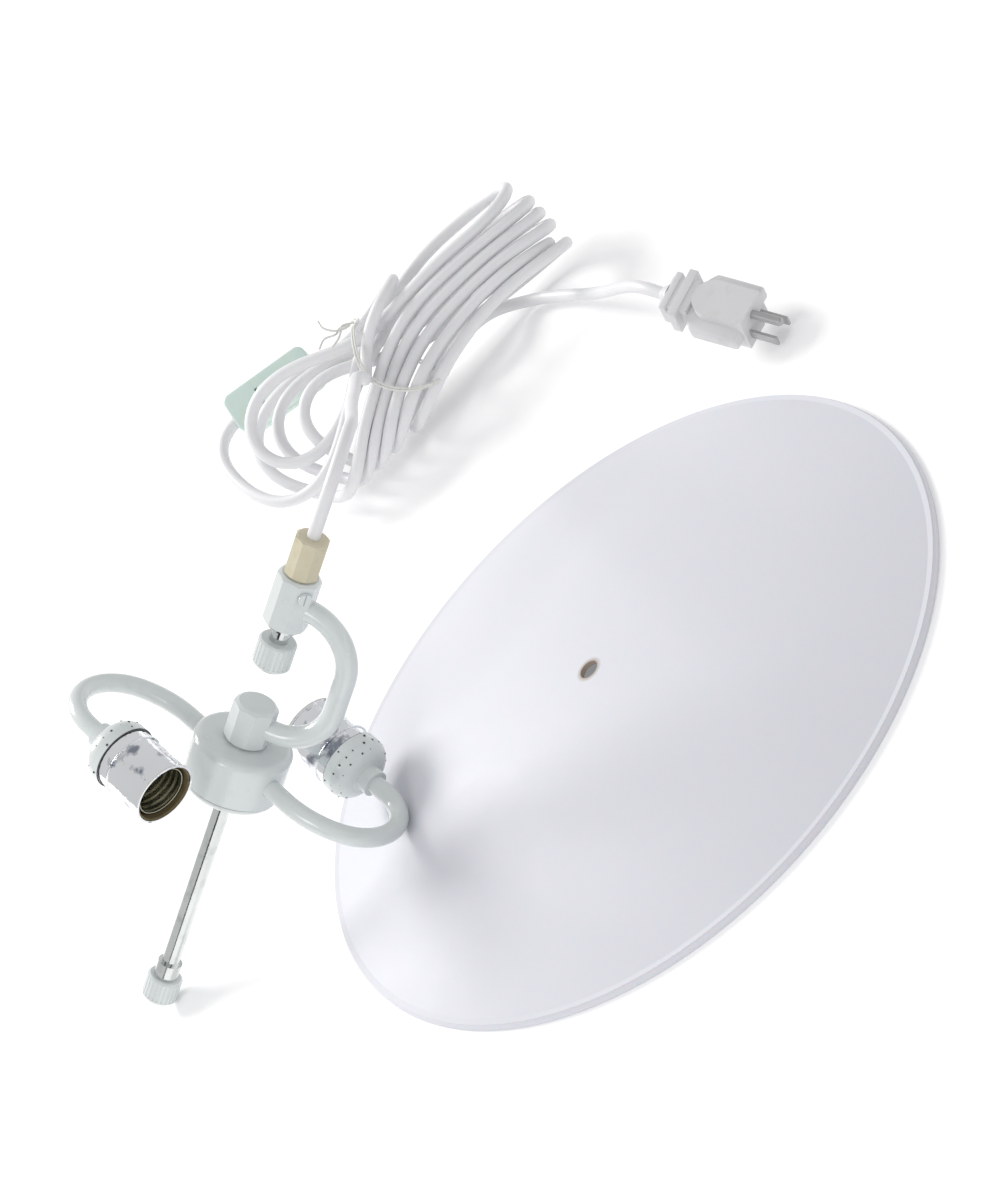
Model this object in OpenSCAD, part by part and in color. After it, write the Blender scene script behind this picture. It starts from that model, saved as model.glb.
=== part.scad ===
// Two-socket lamp kit laid out on a floor: fixture, corded plug and switch, and dished diffuser.
// Millimetres, +Z up, the floor is Z = 0.

/* [Hub] */
// Diameter of the round wiring hub
hub_d = 52; // [46:1:60]
// Height of the hub shell
hub_h = 26; // [24:1:30]
// Diameter of the saucer under the hub
saucer_d = 50; // [44:1:54]
// Height of the eight-sided block on the hub
block_h = 23; // [20:1:28]
// Width across the flats of the block
block_w = 22; // [20:1:24]

/* [Bow and sleeve] */
// Diameter of the C-shaped bow tube
bow_d = 11.5; // [10:0.5:12]
// Bend radius of the bow
bow_r = 28; // [24:1:34]
// Straight stretch between the two bends
bow_straight = 18; // [10:1:26]
// Width across the flats of the sleeve
sleeve_w = 21.5; // [20:0.5:24]
// Length of the sleeve
sleeve_h = 30; // [28:1:34]
// Diameter of the threaded stud under the sleeve
stud_d = 9.6; // [8:0.1:10]
// Diameter of the knurled nut on the stud
nut_d = 20; // [18:0.5:24]
// Width of the cord bushing
bushing_w = 17; // [15:0.5:19]

/* [Rod] */
// Diameter of the centre rod
rod_d = 9; // [8:0.5:10]
// Length of the rod under the saucer
rod_len = 126; // [100:1:150]
// Diameter of the knurled finial
finial_d = 18.5; // [16:0.5:22]

/* [Arms and sockets] */
// Diameter of the arm tube
arm_d = 10; // [9:0.5:11]
// Straight run of an arm from the hub axis
arm_reach = 38; // [34:1:44]
// Radius of the first, wide bend
arm_wide_r = 50; // [40:1:60]
// Radius of the return bend
arm_return_r = 27; // [24:1:32]
// Diameter of a socket shell
socket_d = 34; // [32:0.5:36]
// Length of a socket from the arm's end to its rim
socket_len = 52; // [50:1:58]

/* [Diffuser] */
// Diameter of the dished diffuser
diffuser_d = 380; // [300:5:400]
// Height of the diffuser over its rim
diffuser_h = 33.5; // [25:0.5:40]
// Thickness of the diffuser
diffuser_t = 3; // [2:0.5:5]
// Diameter of its centre hole
diffuser_hole_d = 10.6; // [10:0.1:12]

/* [Cord] */
// Diameter of the round three-core cord
cord_d = 7; // [6:0.1:8]
// Length of the switch body
switch_len = 54; // [48:1:60]
// Width of the switch body
switch_w = 24; // [20:1:28]
// Length of the plug body without its pins
plug_len = 52; // [44:1:56]

/* [Hidden] */

fit = 0.06;          // radial running clearance of a turning fit
gap = 0.3;           // gap between pieces that only pass each other
skin = 1.5;          // wall of the hub shell
octagon = 8;
round_fn = 96;

// Layout on the floor: the fixture leans with its finial down and one arm on the diffuser.
diffuser_at = [46, 0];
hub_at = [-105.6, 93.1, 92.8];
lean = 56.5;
lean_heading = -18;
own_turn = -19;

// Heights along the fixture's own axis, from the middle of the hub.
hub_top = hub_h / 2 - 1;
hub_bottom = hub_top - hub_h;
block_top = hub_top + block_h;
bow_low = hub_top + block_h / 2;
bow_high = bow_low + 2 * bow_r + bow_straight;
sleeve_bottom = bow_high - sleeve_h / 2 + 2;
sleeve_top = sleeve_bottom + sleeve_h;
bushing_h = 23;
bushing_lip = 2;     // closed end of the bushing, which grips the cord
stud_drop = 26;      // free length of the stud under the sleeve
stud_top = sleeve_bottom + 8;
nut_h = 16;
nut_top = sleeve_bottom - 10;
washer_t = 1.6;
saucer_top = hub_bottom - 1;
saucer_h = 5;
rod_top = saucer_top - saucer_h + 1;
rod_end = rod_top - rod_len;
collar_h = 9;
finial_h = 15;
finial_top = rod_end + 4;
finial_bottom = finial_top - finial_h;
bow_turn = -15;      // direction of the bow round the axis
arm_z = -1;          // level of the arms
arm_heading = -38;   // direction in which the right arm leaves the hub
arm_wide_turn = 35;
arm_return_turn = 145;
arm_lead = 8;
arm_inset = 5;       // how far an arm reaches in past the hub's wall
arm_nut_t = 3;
neck_len = 6;
neck_wall = 2.2;     // wall of a socket cap's neck round the nipple
cap_len = 20;
cap_skirt = 4;       // straight skirt of a socket cap
cap_shoulder = 9;    // radius of its shoulder
cap_wall = 0.9;
shell_wall = 0.6;
liner_wall = 1;
base_rise = 6;       // top of the socket's base over the cap
screw_r = 13.3;      // inner radius of the screw shell
contact_r = 2;
diffuser_rim = 4;    // height of the upright rim

// Hank of spare cord, a flat bundle that leans back on the floor.
hank_at = [46, 292, -5];
hank_tilt = 40;
hank_t = 45;
hank_left = [-8, 75, 40];    // middle and radius of the wide end
hank_waist = [50, 63, 27];
hank_right = [137, 66, 30];
tie_t = 1.6;
tie_w = 4;
tie_slack = 7.5;

// Cord from the bushing to the hank, and from the hank to the plug.
axis_up = [sin(lean) * cos(lean_heading), sin(lean) * sin(lean_heading), cos(lean)];
bushing_mouth = hub_at + (sleeve_top + bushing_h) * axis_up;
lead_route = [
    bushing_mouth, bushing_mouth + 14 * axis_up,
    [28.4, 53.4, 183.8], [42.4, 59.5, 187.4], [53.3, 70.8, 186.4], [58.3, 84.6, 180.9],
    [65, 137, 157], [71, 200, 124], [78, 264, 91], [85, 325, 53]
];
tail_route = [
    [140, 326, 23], [157, 333, 14], [174, 326, 7], [186, 306, 7], [195, 280, 11],
    [202, 252, 20], [207, 226, 31], [211.5, 202, 39.5], [214.8, 187.5, 40.5], [218.8, 175, 36.5]
];
cord_sides = 10;
cord_step = 14;      // spacing of the tube's rings

module on_fixture() {
    translate(hub_at) rotate([0, lean, lean_heading]) rotate([0, 0, own_turn]) children();
}

module on_hank() {
    translate(hank_at) rotate([hank_tilt, 0, 0]) children();
}

// side is 0 for the right arm and 1 for the left, half a turn round the hub.
module on_arm(side) {
    on_fixture() rotate([0, 0, 180 * side]) translate([0, 0, arm_z]) children();
}

module tube(outer_r, inner_r, low, high) {
    translate([0, 0, low]) difference() {
        cylinder(h = high - low, r = outer_r, $fn = round_fn);
        translate([0, 0, -1]) cylinder(h = high - low + 2, r = inner_r, $fn = round_fn);
    }
}

// A prism with flats, and a small chamfer at both ends.
module chamfered_prism(width, low, high, sides, chamfer) {
    r = width / 2 / cos(180 / sides);
    intersection() {
        translate([0, 0, low]) rotate([0, 0, 180 / sides]) cylinder(h = high - low, r = r, $fn = sides);
        rotate_extrude($fn = round_fn) polygon([
            [0, low], [width / 2 - chamfer, low], [r + chamfer / 2, low + 1.5 * chamfer],
            [r + chamfer / 2, high - 1.5 * chamfer], [width / 2 - chamfer, high], [0, high]
        ]);
    }
}

// Round knob with upright flutes cut in its side.
module fluted_knob(d, low, high, bore_r, bore_depth, from_top) {
    flutes = 24;
    edge = 2;
    difference() {
        rotate_extrude($fn = round_fn) polygon([
            [0, low], [d / 2 - edge, low], [d / 2, low + edge],
            [d / 2, high - 1], [d / 2 - 1, high], [0, high]
        ]);
        for (i = [0:flutes - 1]) rotate([0, 0, i * 360 / flutes])
            translate([d / 2 + 0.25, 0, low + edge + 1]) cylinder(h = high - low, r = 0.6, $fn = 24);
        translate([0, 0, from_top ? high - bore_depth : low - 1])
            cylinder(h = bore_depth + 1, r = bore_r, $fn = round_fn);
    }
}

module cord_bushing() {
    color("ivory") on_fixture() difference() {
        chamfered_prism(bushing_w, sleeve_top, sleeve_top + bushing_h, octagon, 1);
        translate([0, 0, sleeve_top - 1])
            cylinder(h = bushing_h - bushing_lip + 1, r = cord_d / 2 + 0.6, $fn = round_fn);
    }
}

module bow_sleeve() {
    color("white") on_fixture() difference() {
        rotate([0, 0, bow_turn]) chamfered_prism(sleeve_w, sleeve_bottom, sleeve_top, octagon, 1.2);
        translate([0, 0, stud_top])
            cylinder(h = sleeve_top - stud_top + 1, r = cord_d / 2 + 1, $fn = round_fn);
        translate([0, 0, sleeve_bottom - 1])
            cylinder(h = stud_top - sleeve_bottom + 1, r = stud_d / 2, $fn = round_fn);
        bow_pocket(bow_high);
        on_sleeve_side() cylinder(h = 12, r = 2.5 + fit, $fn = round_fn);
    }
}

// Blind pocket in which one end of the bow sits.
module bow_pocket(level) {
    rotate([0, 0, bow_turn]) translate([8, 0, level]) rotate([0, 90, 0])
        cylinder(h = 20, r = bow_d / 2, $fn = round_fn);
}

module on_sleeve_side() {
    rotate([0, 0, bow_turn - 45]) translate([5, 0, sleeve_top - 7]) rotate([0, 90, 0]) children();
}

module sleeve_screw() {
    color("white") on_fixture() on_sleeve_side() {
        cylinder(h = sleeve_w / 2 - 5 + 0.3, r = 2.5, $fn = round_fn);
        translate([0, 0, sleeve_w / 2 - 5 + 0.3]) difference() {
            cylinder(h = 1.6, r = 3.4, $fn = round_fn);
            translate([-4, -0.4, 0.8]) cube([8, 0.8, 2]);
        }
    }
}

module c_bow() {
    reach = 11;
    color("white") on_fixture() rotate([0, 0, bow_turn]) {
        for (level = [bow_low, bow_high]) translate([8, 0, level]) rotate([0, 90, 0])
            tube(bow_d / 2, bow_d / 2 - 1.2, 0, reach - 8);
        translate([reach + bow_r, 0, bow_low + bow_r]) tube(bow_d / 2, bow_d / 2 - 1.2, 0, bow_straight);
        translate([reach, 0, bow_low + bow_r]) rotate([90, 0, 0]) bow_bend(270);
        translate([reach, 0, bow_high - bow_r]) rotate([90, 0, 0]) bow_bend(0);
    }
}

module bow_bend(start) {
    rotate([0, 0, start]) rotate_extrude(angle = 90, $fn = round_fn) translate([bow_r, 0]) difference() {
        circle(d = bow_d, $fn = 64);
        circle(d = bow_d - 2.4, $fn = 64);
    }
}

module shade_stud() {
    color("silver") on_fixture() translate([0, 0, stud_top - stud_drop])
        cylinder(h = stud_drop, d = stud_d, $fn = round_fn);
}

module stud_washer() {
    color("silver") on_fixture()
        tube(nut_d / 2 - 1.5, stud_d / 2, sleeve_bottom - washer_t, sleeve_bottom);
}

module cap_nut() {
    color("white") on_fixture()
        fluted_knob(nut_d, nut_top - nut_h, nut_top, stud_d / 2 + fit, nut_h - 4, true);
}

module hub_block() {
    color("white") on_fixture() difference() {
        rotate([0, 0, bow_turn]) chamfered_prism(block_w, hub_top, block_top, octagon, 1.5);
        translate([0, 0, hub_top - 1]) cylinder(h = 8, r = 5, $fn = round_fn);
        bow_pocket(bow_low);
    }
}

module hub_shell() {
    dome = 2;
    color("white") on_fixture() difference() {
        rotate_extrude($fn = round_fn) difference() {
            hub_outline(hub_d / 2, hub_top, 4);
            hub_outline(hub_d / 2 - skin, hub_top - skin, 3);
        }
        translate([0, 0, hub_top - dome - 2]) cylinder(h = 8, r = 5, $fn = round_fn);
        for (side = [0, 1]) rotate([0, 0, arm_heading + 180 * side]) translate([hub_d / 4, 0, arm_z])
            rotate([0, 90, 0]) cylinder(h = hub_d, r = arm_d / 2 + fit, $fn = round_fn);
    }
}

module hub_outline(r, top, corner) {
    translate([0, hub_bottom]) square([r, hub_h - corner - (hub_top - top)]);
    square_top = top - corner;
    translate([0, square_top - 0.5]) square([r - corner, corner + 0.5]);
    translate([r - corner, square_top]) intersection() {
        circle(r = corner, $fn = 64);
        square(corner);
    }
}

module hub_saucer() {
    color("white") on_fixture() difference() {
        rotate_extrude($fn = round_fn) polygon([
            [0, saucer_top - saucer_h], [saucer_d / 2 - 6, saucer_top - saucer_h],
            [saucer_d / 2 - 1.5, saucer_top - 3.2], [saucer_d / 2, saucer_top - 1.2],
            [saucer_d / 2, saucer_top],
            [saucer_d / 2 - 1.5, saucer_top], [saucer_d / 2 - 7, saucer_top - saucer_h + 1.5],
            [0, saucer_top - saucer_h + 1.5]
        ]);
        translate([0, 0, saucer_top - saucer_h - 1]) cylinder(h = 4, r = 5, $fn = round_fn);
    }
}

module hub_stem() {
    color("silver") on_fixture() tube(5, 3.6, saucer_top - saucer_h, hub_top + 7);
}

module stem_nuts() {
    levels = [saucer_top - saucer_h + 1.5, hub_top - skin - 3];
    color("silver") on_fixture() for (low = levels) difference() {
        translate([0, 0, low]) cylinder(h = 3, r = 8.5, $fn = 6);
        translate([0, 0, low - 1]) cylinder(h = 5, r = 5, $fn = round_fn);
    }
}

module wire_caps() {
    drop = 8;
    color("gold") on_fixture() for (turn = [45, 225])
        rotate([0, 0, turn]) translate([15, 0, hub_bottom + drop])
            cylinder(h = hub_h - skin - drop, r1 = 4.5, r2 = 3, $fn = 32);
}

module centre_rod() {
    color("silver") on_fixture() tube(rod_d / 2, rod_d / 2 - 1, rod_end, saucer_top - saucer_h);
}

module rod_collar() {
    color("silver") on_fixture() tube(6.4, rod_d / 2, finial_top + 0.2, finial_top + collar_h);
}

module finial() {
    color("white") on_fixture()
        fluted_knob(finial_d, finial_bottom, finial_top, rod_d / 2 + fit, finial_h - 4, true);
}

// Places children at the end of a bend that starts here along +X and turns left.
module after_bend(r, turn) {
    translate([r * sin(turn), r * (1 - cos(turn)), 0]) rotate([0, 0, turn]) children();
}

module arm_bend(r, turn) {
    translate([0, r, 0]) rotate([0, 0, -90]) rotate_extrude(angle = turn, $fn = round_fn)
        translate([r, 0]) difference() {
            circle(d = arm_d, $fn = 64);
            circle(d = arm_d - 2, $fn = 64);
        }
}

module arm_run(from, to) {
    translate([from, 0, 0]) rotate([0, 90, 0]) tube(arm_d / 2, arm_d / 2 - 1, 0, to - from);
}

// The tube from the hub to the end of its wide bend.
module arm_tube(side) {
    color("white") on_arm(side) rotate([0, 0, arm_heading]) {
        arm_run(hub_d / 2 - skin - arm_inset, arm_reach);
        translate([arm_reach, 0, 0]) arm_bend(arm_wide_r, arm_wide_turn);
    }
}

// The return bend of the same tube.
module arm_return(side) {
    color("white") on_arm(side) rotate([0, 0, arm_heading]) translate([arm_reach, 0, 0])
        after_bend(arm_wide_r, arm_wide_turn) arm_bend(arm_return_r, arm_return_turn);
}

// Nipple between the arm's end and the socket cap.
module arm_nipple(side) {
    color("white") on_socket(side) tube(arm_d / 2, arm_d / 2 - 1, -arm_lead, neck_len);
}

// Places children on a socket, with +Z from the arm's end to the open rim.
module on_socket(side) {
    on_arm(side) rotate([0, 0, arm_heading]) translate([arm_reach, 0, 0])
        after_bend(arm_wide_r, arm_wide_turn) after_bend(arm_return_r, arm_return_turn)
            translate([arm_lead, 0, 0]) rotate([0, 90, 0]) children();
}

module arm_nut(side) {
    color("silver") on_arm(side) rotate([0, 0, arm_heading]) translate([hub_d / 2 - skin - arm_inset, 0, 0])
        rotate([0, 90, 0]) difference() {
            cylinder(h = arm_nut_t, r = 7, $fn = 6);
            translate([0, 0, -1]) cylinder(h = arm_nut_t + 2, r = arm_d / 2, $fn = round_fn);
        }
}

module socket_cap(side) {
    color("white") on_socket(side) difference() {
        rotate_extrude($fn = round_fn) difference() {
            cap_outline(0);
            cap_outline(cap_wall);
        }
        translate([0, 0, -1]) cylinder(h = neck_len + 2, r = arm_d / 2, $fn = round_fn);
    }
}

// Half outline of a socket cap, drawn inset from its outer skin.
module cap_outline(inset) {
    bend_x = socket_d / 2 + cap_wall - cap_shoulder;
    bend_z = cap_len - cap_skirt;
    low = bend_z - cap_shoulder + inset;
    top = cap_len + (inset > 0 ? 1 : 0);
    neck_r = arm_d / 2 + neck_wall - inset;
    translate([bend_x, bend_z]) intersection() {
        circle(r = cap_shoulder - inset, $fn = 64);
        translate([0, -cap_shoulder]) square(cap_shoulder);
    }
    translate([0, bend_z]) square([bend_x + cap_shoulder - inset, top - bend_z]);
    polygon([
        [0, inset], [neck_r, inset], [neck_r, low - 0.5], [bend_x, low], [bend_x, bend_z], [0, bend_z]
    ]);
}

module socket_shell(side) {
    bead = 0.5;
    color("silver") on_socket(side) {
        tube(socket_d / 2, socket_d / 2 - shell_wall, cap_len - 3, socket_len);
        tube(socket_d / 2 + bead, socket_d / 2, socket_len - 1.5, socket_len);
    }
}

module socket_liner(side) {
    r = socket_d / 2 - shell_wall;
    color("peru") on_socket(side) tube(r, r - liner_wall, cap_len - 2, socket_len - 0.8);
}

module screw_shell(side) {
    floor_z = cap_len + base_rise;
    color("goldenrod") on_socket(side) {
        tube(screw_r + shell_wall, screw_r, floor_z, socket_len - 3);
        tube(screw_r, 4, floor_z, floor_z + shell_wall);
    }
}

module socket_base(side) {
    color("dimgray") on_socket(side)
        tube(socket_d / 2 - shell_wall - liner_wall, contact_r, cap_len - 1, cap_len + base_rise);
}

module centre_contact(side) {
    top = cap_len + base_rise;
    color("gold") on_socket(side) {
        translate([0, 0, cap_len - 1]) cylinder(h = top - cap_len + 1, r = contact_r, $fn = 48);
        translate([0, 0, top]) cylinder(h = shell_wall, r = contact_r + 1.4, $fn = 48);
    }
}

module diffuser() {
    edge = diffuser_d / 2;
    rise = diffuser_h - diffuser_rim;
    flat_r = edge - 4;
    ball_r = (flat_r * flat_r + rise * rise) / (2 * rise);
    color("white") translate([diffuser_at[0], diffuser_at[1], 0]) rotate_extrude($fn = 180) {
        difference() {
            intersection() {
                translate([0, diffuser_h - ball_r]) difference() {
                    circle(r = ball_r, $fn = 360);
                    circle(r = ball_r - diffuser_t, $fn = 360);
                }
                square([flat_r, diffuser_h]);
            }
            square([diffuser_hole_d / 2, diffuser_h + 1]);
            square([flat_r + 1, 0.8]);
        }
        translate([edge - 4, 0]) square([3, diffuser_rim]);
        translate([edge - 3, 0]) square([3, diffuser_rim - 2]);
        translate([edge - 2, diffuser_rim - 2]) circle(r = 2, $fn = 48);
    }
}

// Smooth curve through the route's points, as a list of points about one step apart.
function spline_point(a, b, c, d, t) =
    0.5 * (2 * b + (c - a) * t + (2 * a - 5 * b + 4 * c - d) * t * t + (3 * b - a - 3 * c + d) * t * t * t);
function smooth(route) = [
    for (i = [0:len(route) - 2])
        let (
            a = i > 0 ? route[i - 1] : 2 * route[0] - route[1],
            b = route[i],
            c = route[i + 1],
            d = i < len(route) - 2 ? route[i + 2] : 2 * c - b,
            steps = max(1, round(norm(c - b) / cord_step))
        )
        for (k = [0:steps - 1]) spline_point(a, b, c, d, k / steps),
    route[len(route) - 1]
];

function unit(v) = v / norm(v);
function heading(path, i) = unit(path[min(i + 1, len(path) - 1)] - path[max(i - 1, 0)]);
// A side vector carried along the path, so that the rings don't twist.
function sides_along(path, i, side) =
    let (now = unit(side - (side * heading(path, i)) * heading(path, i)))
    i == len(path) - 1 ? [now] : concat([now], sides_along(path, i + 1, now));

module cord_tube(route) {
    path = smooth(route);
    sides = sides_along(path, 0, unit(cross(heading(path, 0), [0.1, 0.2, 1])));
    n = cord_sides;
    rings = len(path);
    points = [
        for (i = [0:rings - 1]) let (up = cross(heading(path, i), sides[i]))
            for (k = [0:n - 1]) path[i] + cord_d / 2 * (cos(k * 360 / n) * sides[i] + sin(k * 360 / n) * up)
    ];
    walls = [
        for (i = [0:rings - 2], k = [0:n - 1])
            [i * n + k, (i + 1) * n + k, (i + 1) * n + (k + 1) % n, i * n + (k + 1) % n]
    ];
    ends = [[for (k = [0:n - 1]) k], [for (k = [n - 1:-1:0]) (rings - 1) * n + k]];
    polyhedron(points, concat(walls, ends), convexity = 6);
}

module cord_lead() {
    color("whitesmoke") cord_tube(lead_route);
}

module cord_tail() {
    color("whitesmoke") cord_tube(tail_route);
}

module hank_spot(spot, grow = 0) {
    translate([spot[0], spot[1]]) circle(r = spot[2] + grow, $fn = 64);
}

module cord_hank() {
    color("whitesmoke") on_hank() translate([0, 0, -hank_t / 2]) linear_extrude(hank_t) {
        hull() {
            hank_spot(hank_left);
            hank_spot(hank_waist);
        }
        hull() {
            hank_spot(hank_waist);
            hank_spot(hank_right);
        }
    }
}

module hank_tie() {
    color("gainsboro") on_hank() translate([hank_waist[0], hank_waist[1], 0]) rotate([0, 90, 0])
        linear_extrude(tie_w, center = true) difference() {
            square([hank_t + 2 * tie_t, 2 * hank_waist[2] + 2 * tie_t + tie_slack], center = true);
            square([hank_t, 2 * hank_waist[2] + tie_slack], center = true);
        }
}

// Plug frame: +Z runs out of the cord towards the pins, which rest on the floor.
plug_at = tail_route[len(tail_route) - 1];
plug_pitch = 25;
plug_heading = -66;
plug_w = 36;         // over the two side wings
wing_t = 9;
core_w = 22;
plug_t = 23;
grip_len = 16;
shoulder_len = 8;
pin_len = 18;
// Steps of the grip: thickness, width, from, to.
grip_steps = [[14, 23, 0, 5], [12, 19, 5, 8], [16, 29, 8, 13], [14, 20, 13, 17]];

module on_plug() {
    translate(plug_at) rotate([0, 0, plug_heading]) rotate([0, 90 + plug_pitch, 0])
        rotate([0, 0, 180]) children();
}

module plug_body() {
    color("gainsboro") on_plug() {
        for (step = grip_steps) plug_slab(step[0], step[1], step[2], step[3]);
        hull() {
            plug_slab(14, 20, grip_len, grip_len + 1);
            plug_slab(plug_t, core_w, grip_len + shoulder_len, plug_len);
        }
        hull() {
            plug_slab(wing_t, core_w, grip_len, grip_len + 1);
            plug_slab(wing_t, plug_w, grip_len + shoulder_len, plug_len - 3);
        }
    }
}

module plug_slab(thickness, width, low, high) {
    translate([-thickness / 2, -width / 2, low]) cube([thickness, width, high - low]);
}

module plug_blades() {
    color("silver") on_plug() for (y = [-6.35, 6.35]) translate([-3.2 - 3.5, y - 0.75, plug_len])
        cube([6.4, 1.5, pin_len - 2]);
}

module plug_earth_pin() {
    color("silver") on_plug() translate([5.5, 0, plug_len]) {
        cylinder(h = pin_len - 2, d = 4.8, $fn = 48);
        translate([0, 0, pin_len - 2]) sphere(d = 4.8, $fn = 48);
    }
}

// Switch frame: lies against the back of the hank, rocker towards the open side.
switch_at = [-2, 116];
switch_gap = 3;       // room for the rocker to tip clear of the hank
switch_turn = -13;
case_h = 11;
base_h = 7;
rocker_len = 16;
rocker_w = 10;
rocker_pin_r = 1.2;
rocker_axis = 6;     // height of the rocker's pivot over the joint line of the case

module on_switch() {
    on_hank() translate([switch_at[0], switch_at[1], -hank_t / 2 - switch_gap - case_h - base_h])
        rotate([0, 0, switch_turn]) children();
}

module rounded_slab(length, width, low, high, corner) {
    translate([0, 0, low]) linear_extrude(high - low) hull()
        for (x = [-1, 1], y = [-1, 1]) translate([x * (length / 2 - corner), y * (width / 2 - corner)])
            circle(r = corner, $fn = 32);
}

module switch_base() {
    color("honeydew") on_switch() rounded_slab(switch_len, switch_w, 0, base_h, 5);
}

module switch_case() {
    color("honeydew") on_switch() difference() {
        rounded_slab(switch_len, switch_w, base_h, base_h + case_h, 5);
        translate([-rocker_len / 2 - gap, -rocker_w / 2 - gap, base_h + 1.5])
            cube([rocker_len + 2 * gap, rocker_w + 2 * gap, case_h]);
        translate([0, 0, base_h + rocker_axis]) rotate([90, 0, 0])
            cylinder(h = rocker_w + 5, r = rocker_pin_r + fit, center = true, $fn = round_fn);
    }
}

module switch_rocker() {
    color("white") on_switch() translate([0, 0, base_h + rocker_axis]) rotate([90, 0, 0]) {
        linear_extrude(rocker_w, center = true) intersection() {
            circle(r = rocker_len / 2, $fn = 64);
            translate([-rocker_len / 2, -3]) square([rocker_len, 3 + case_h - rocker_axis + 1]);
        }
        cylinder(h = rocker_w + 4, r = rocker_pin_r, center = true, $fn = round_fn);
    }
}

cord_bushing();
bow_sleeve();
sleeve_screw();
c_bow();
shade_stud();
stud_washer();
cap_nut();
hub_block();
hub_shell();
hub_saucer();
hub_stem();
stem_nuts();
wire_caps();
centre_rod();
rod_collar();
finial();
arm_tube(1);  // arm_left
arm_return(1);  // arm_return_left
arm_nipple(1);  // arm_nipple_left
arm_nut(1);  // arm_nut_left
socket_cap(1);  // socket_cap_left
socket_shell(1);  // socket_shell_left
socket_liner(1);  // socket_liner_left
screw_shell(1);  // screw_shell_left
socket_base(1);  // socket_base_left
centre_contact(1);  // centre_contact_left
arm_tube(0);  // arm_right
arm_return(0);  // arm_return_right
arm_nipple(0);  // arm_nipple_right
arm_nut(0);  // arm_nut_right
socket_cap(0);  // socket_cap_right
socket_shell(0);  // socket_shell_right
socket_liner(0);  // socket_liner_right
screw_shell(0);  // screw_shell_right
socket_base(0);  // socket_base_right
centre_contact(0);  // centre_contact_right
diffuser();
cord_lead();
cord_hank();
hank_tie();
cord_tail();
plug_body();
plug_blades();
plug_earth_pin();
switch_case();
switch_base();
switch_rocker();
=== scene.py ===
import math
import random

import bmesh
import bpy
import numpy as np
from mathutils import Matrix, Vector


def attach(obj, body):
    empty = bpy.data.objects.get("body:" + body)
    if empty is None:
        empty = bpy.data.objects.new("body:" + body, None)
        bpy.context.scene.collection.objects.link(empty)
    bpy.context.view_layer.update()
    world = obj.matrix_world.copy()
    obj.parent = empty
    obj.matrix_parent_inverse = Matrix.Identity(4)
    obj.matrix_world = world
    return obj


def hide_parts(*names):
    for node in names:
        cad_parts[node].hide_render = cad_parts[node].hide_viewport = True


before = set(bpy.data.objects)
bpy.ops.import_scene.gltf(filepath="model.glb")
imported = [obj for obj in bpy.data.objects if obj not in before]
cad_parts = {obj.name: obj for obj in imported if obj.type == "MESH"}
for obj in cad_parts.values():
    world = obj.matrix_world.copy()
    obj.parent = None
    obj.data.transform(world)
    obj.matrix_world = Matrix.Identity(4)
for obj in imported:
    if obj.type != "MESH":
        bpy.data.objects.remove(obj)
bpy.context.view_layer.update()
mm = 0.001
random.seed(7)

# Camera

cameraSetup = {
    "aim": (42.0, 45.3, 70.8),   # mm
    "distance": 3.0,             # m
    "lens": 180.0,
    "elevation": 32.6,
    "roll": 47.9,                # the picture is turned, so the row of pieces climbs to the right
}


def makeCamera(setup):
    tilt = math.radians(setup["elevation"])
    roll = math.radians(setup["roll"])
    back = Vector((0, -math.cos(tilt), math.sin(tilt)))
    flatRight = Vector((1, 0, 0))
    flatUp = back.cross(flatRight)
    right = flatRight * math.cos(roll) - flatUp * math.sin(roll)
    up = flatRight * math.sin(roll) + flatUp * math.cos(roll)
    turn = Matrix((right, up, back)).transposed().to_4x4()
    camera = bpy.data.objects.new("camera", bpy.data.cameras.new("camera"))
    camera.data.lens = setup["lens"]
    camera.data.clip_end = 30
    camera.matrix_world = Matrix.Translation(Vector(setup["aim"]) * mm + back * setup["distance"]) @ turn
    bpy.context.scene.collection.objects.link(camera)
    bpy.context.scene.camera = camera


makeCamera(cameraSetup)
print("camera placed")

# Where the pieces stand, in mm

fixturePlace = {"hub": (-105.6, 93.1, 92.8), "lean": 56.5, "heading": -18.0, "ownTurn": -19.0}
hankPlace = {"at": (46.0, 292.0, -5.0), "tilt": 40.0, "layerShift": 0.3137}


def turned(axis, degrees):
    return Matrix.Rotation(math.radians(degrees), 4, axis)


onFixture = (Matrix.Translation(fixturePlace["hub"]) @ turned("Z", fixturePlace["heading"])
             @ turned("Y", fixturePlace["lean"]) @ turned("Z", fixturePlace["ownTurn"]))
onHank = Matrix.Translation(hankPlace["at"]) @ turned("X", hankPlace["tilt"])


def inHank(x, rise, depth):
    # rise is height up the leaning hank, depth is towards its open face
    return onHank @ Vector((x, rise - hankPlace["layerShift"] * depth, depth))


# Cord

cordSetup = {
    "diameter": 7.0,
    "step": 5.0,          # mm between points while the hank settles
    "rounds": 160,
    "floor": 3.6,
}
bushingMouth = onFixture @ Vector((0, 0, 137.5))
axisUp = (onFixture @ Vector((0, 0, 1)) - onFixture @ Vector((0, 0, 0))).normalized()
leadRoute = [
    bushingMouth, bushingMouth + 14 * axisUp,
    (28.4, 53.4, 183.8), (42.4, 59.5, 187.4), (53.3, 70.8, 186.4), (58.3, 84.6, 180.9),
    (65, 137, 157), (71, 200, 124), (78, 264, 91), (85, 325, 53),
]
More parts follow.
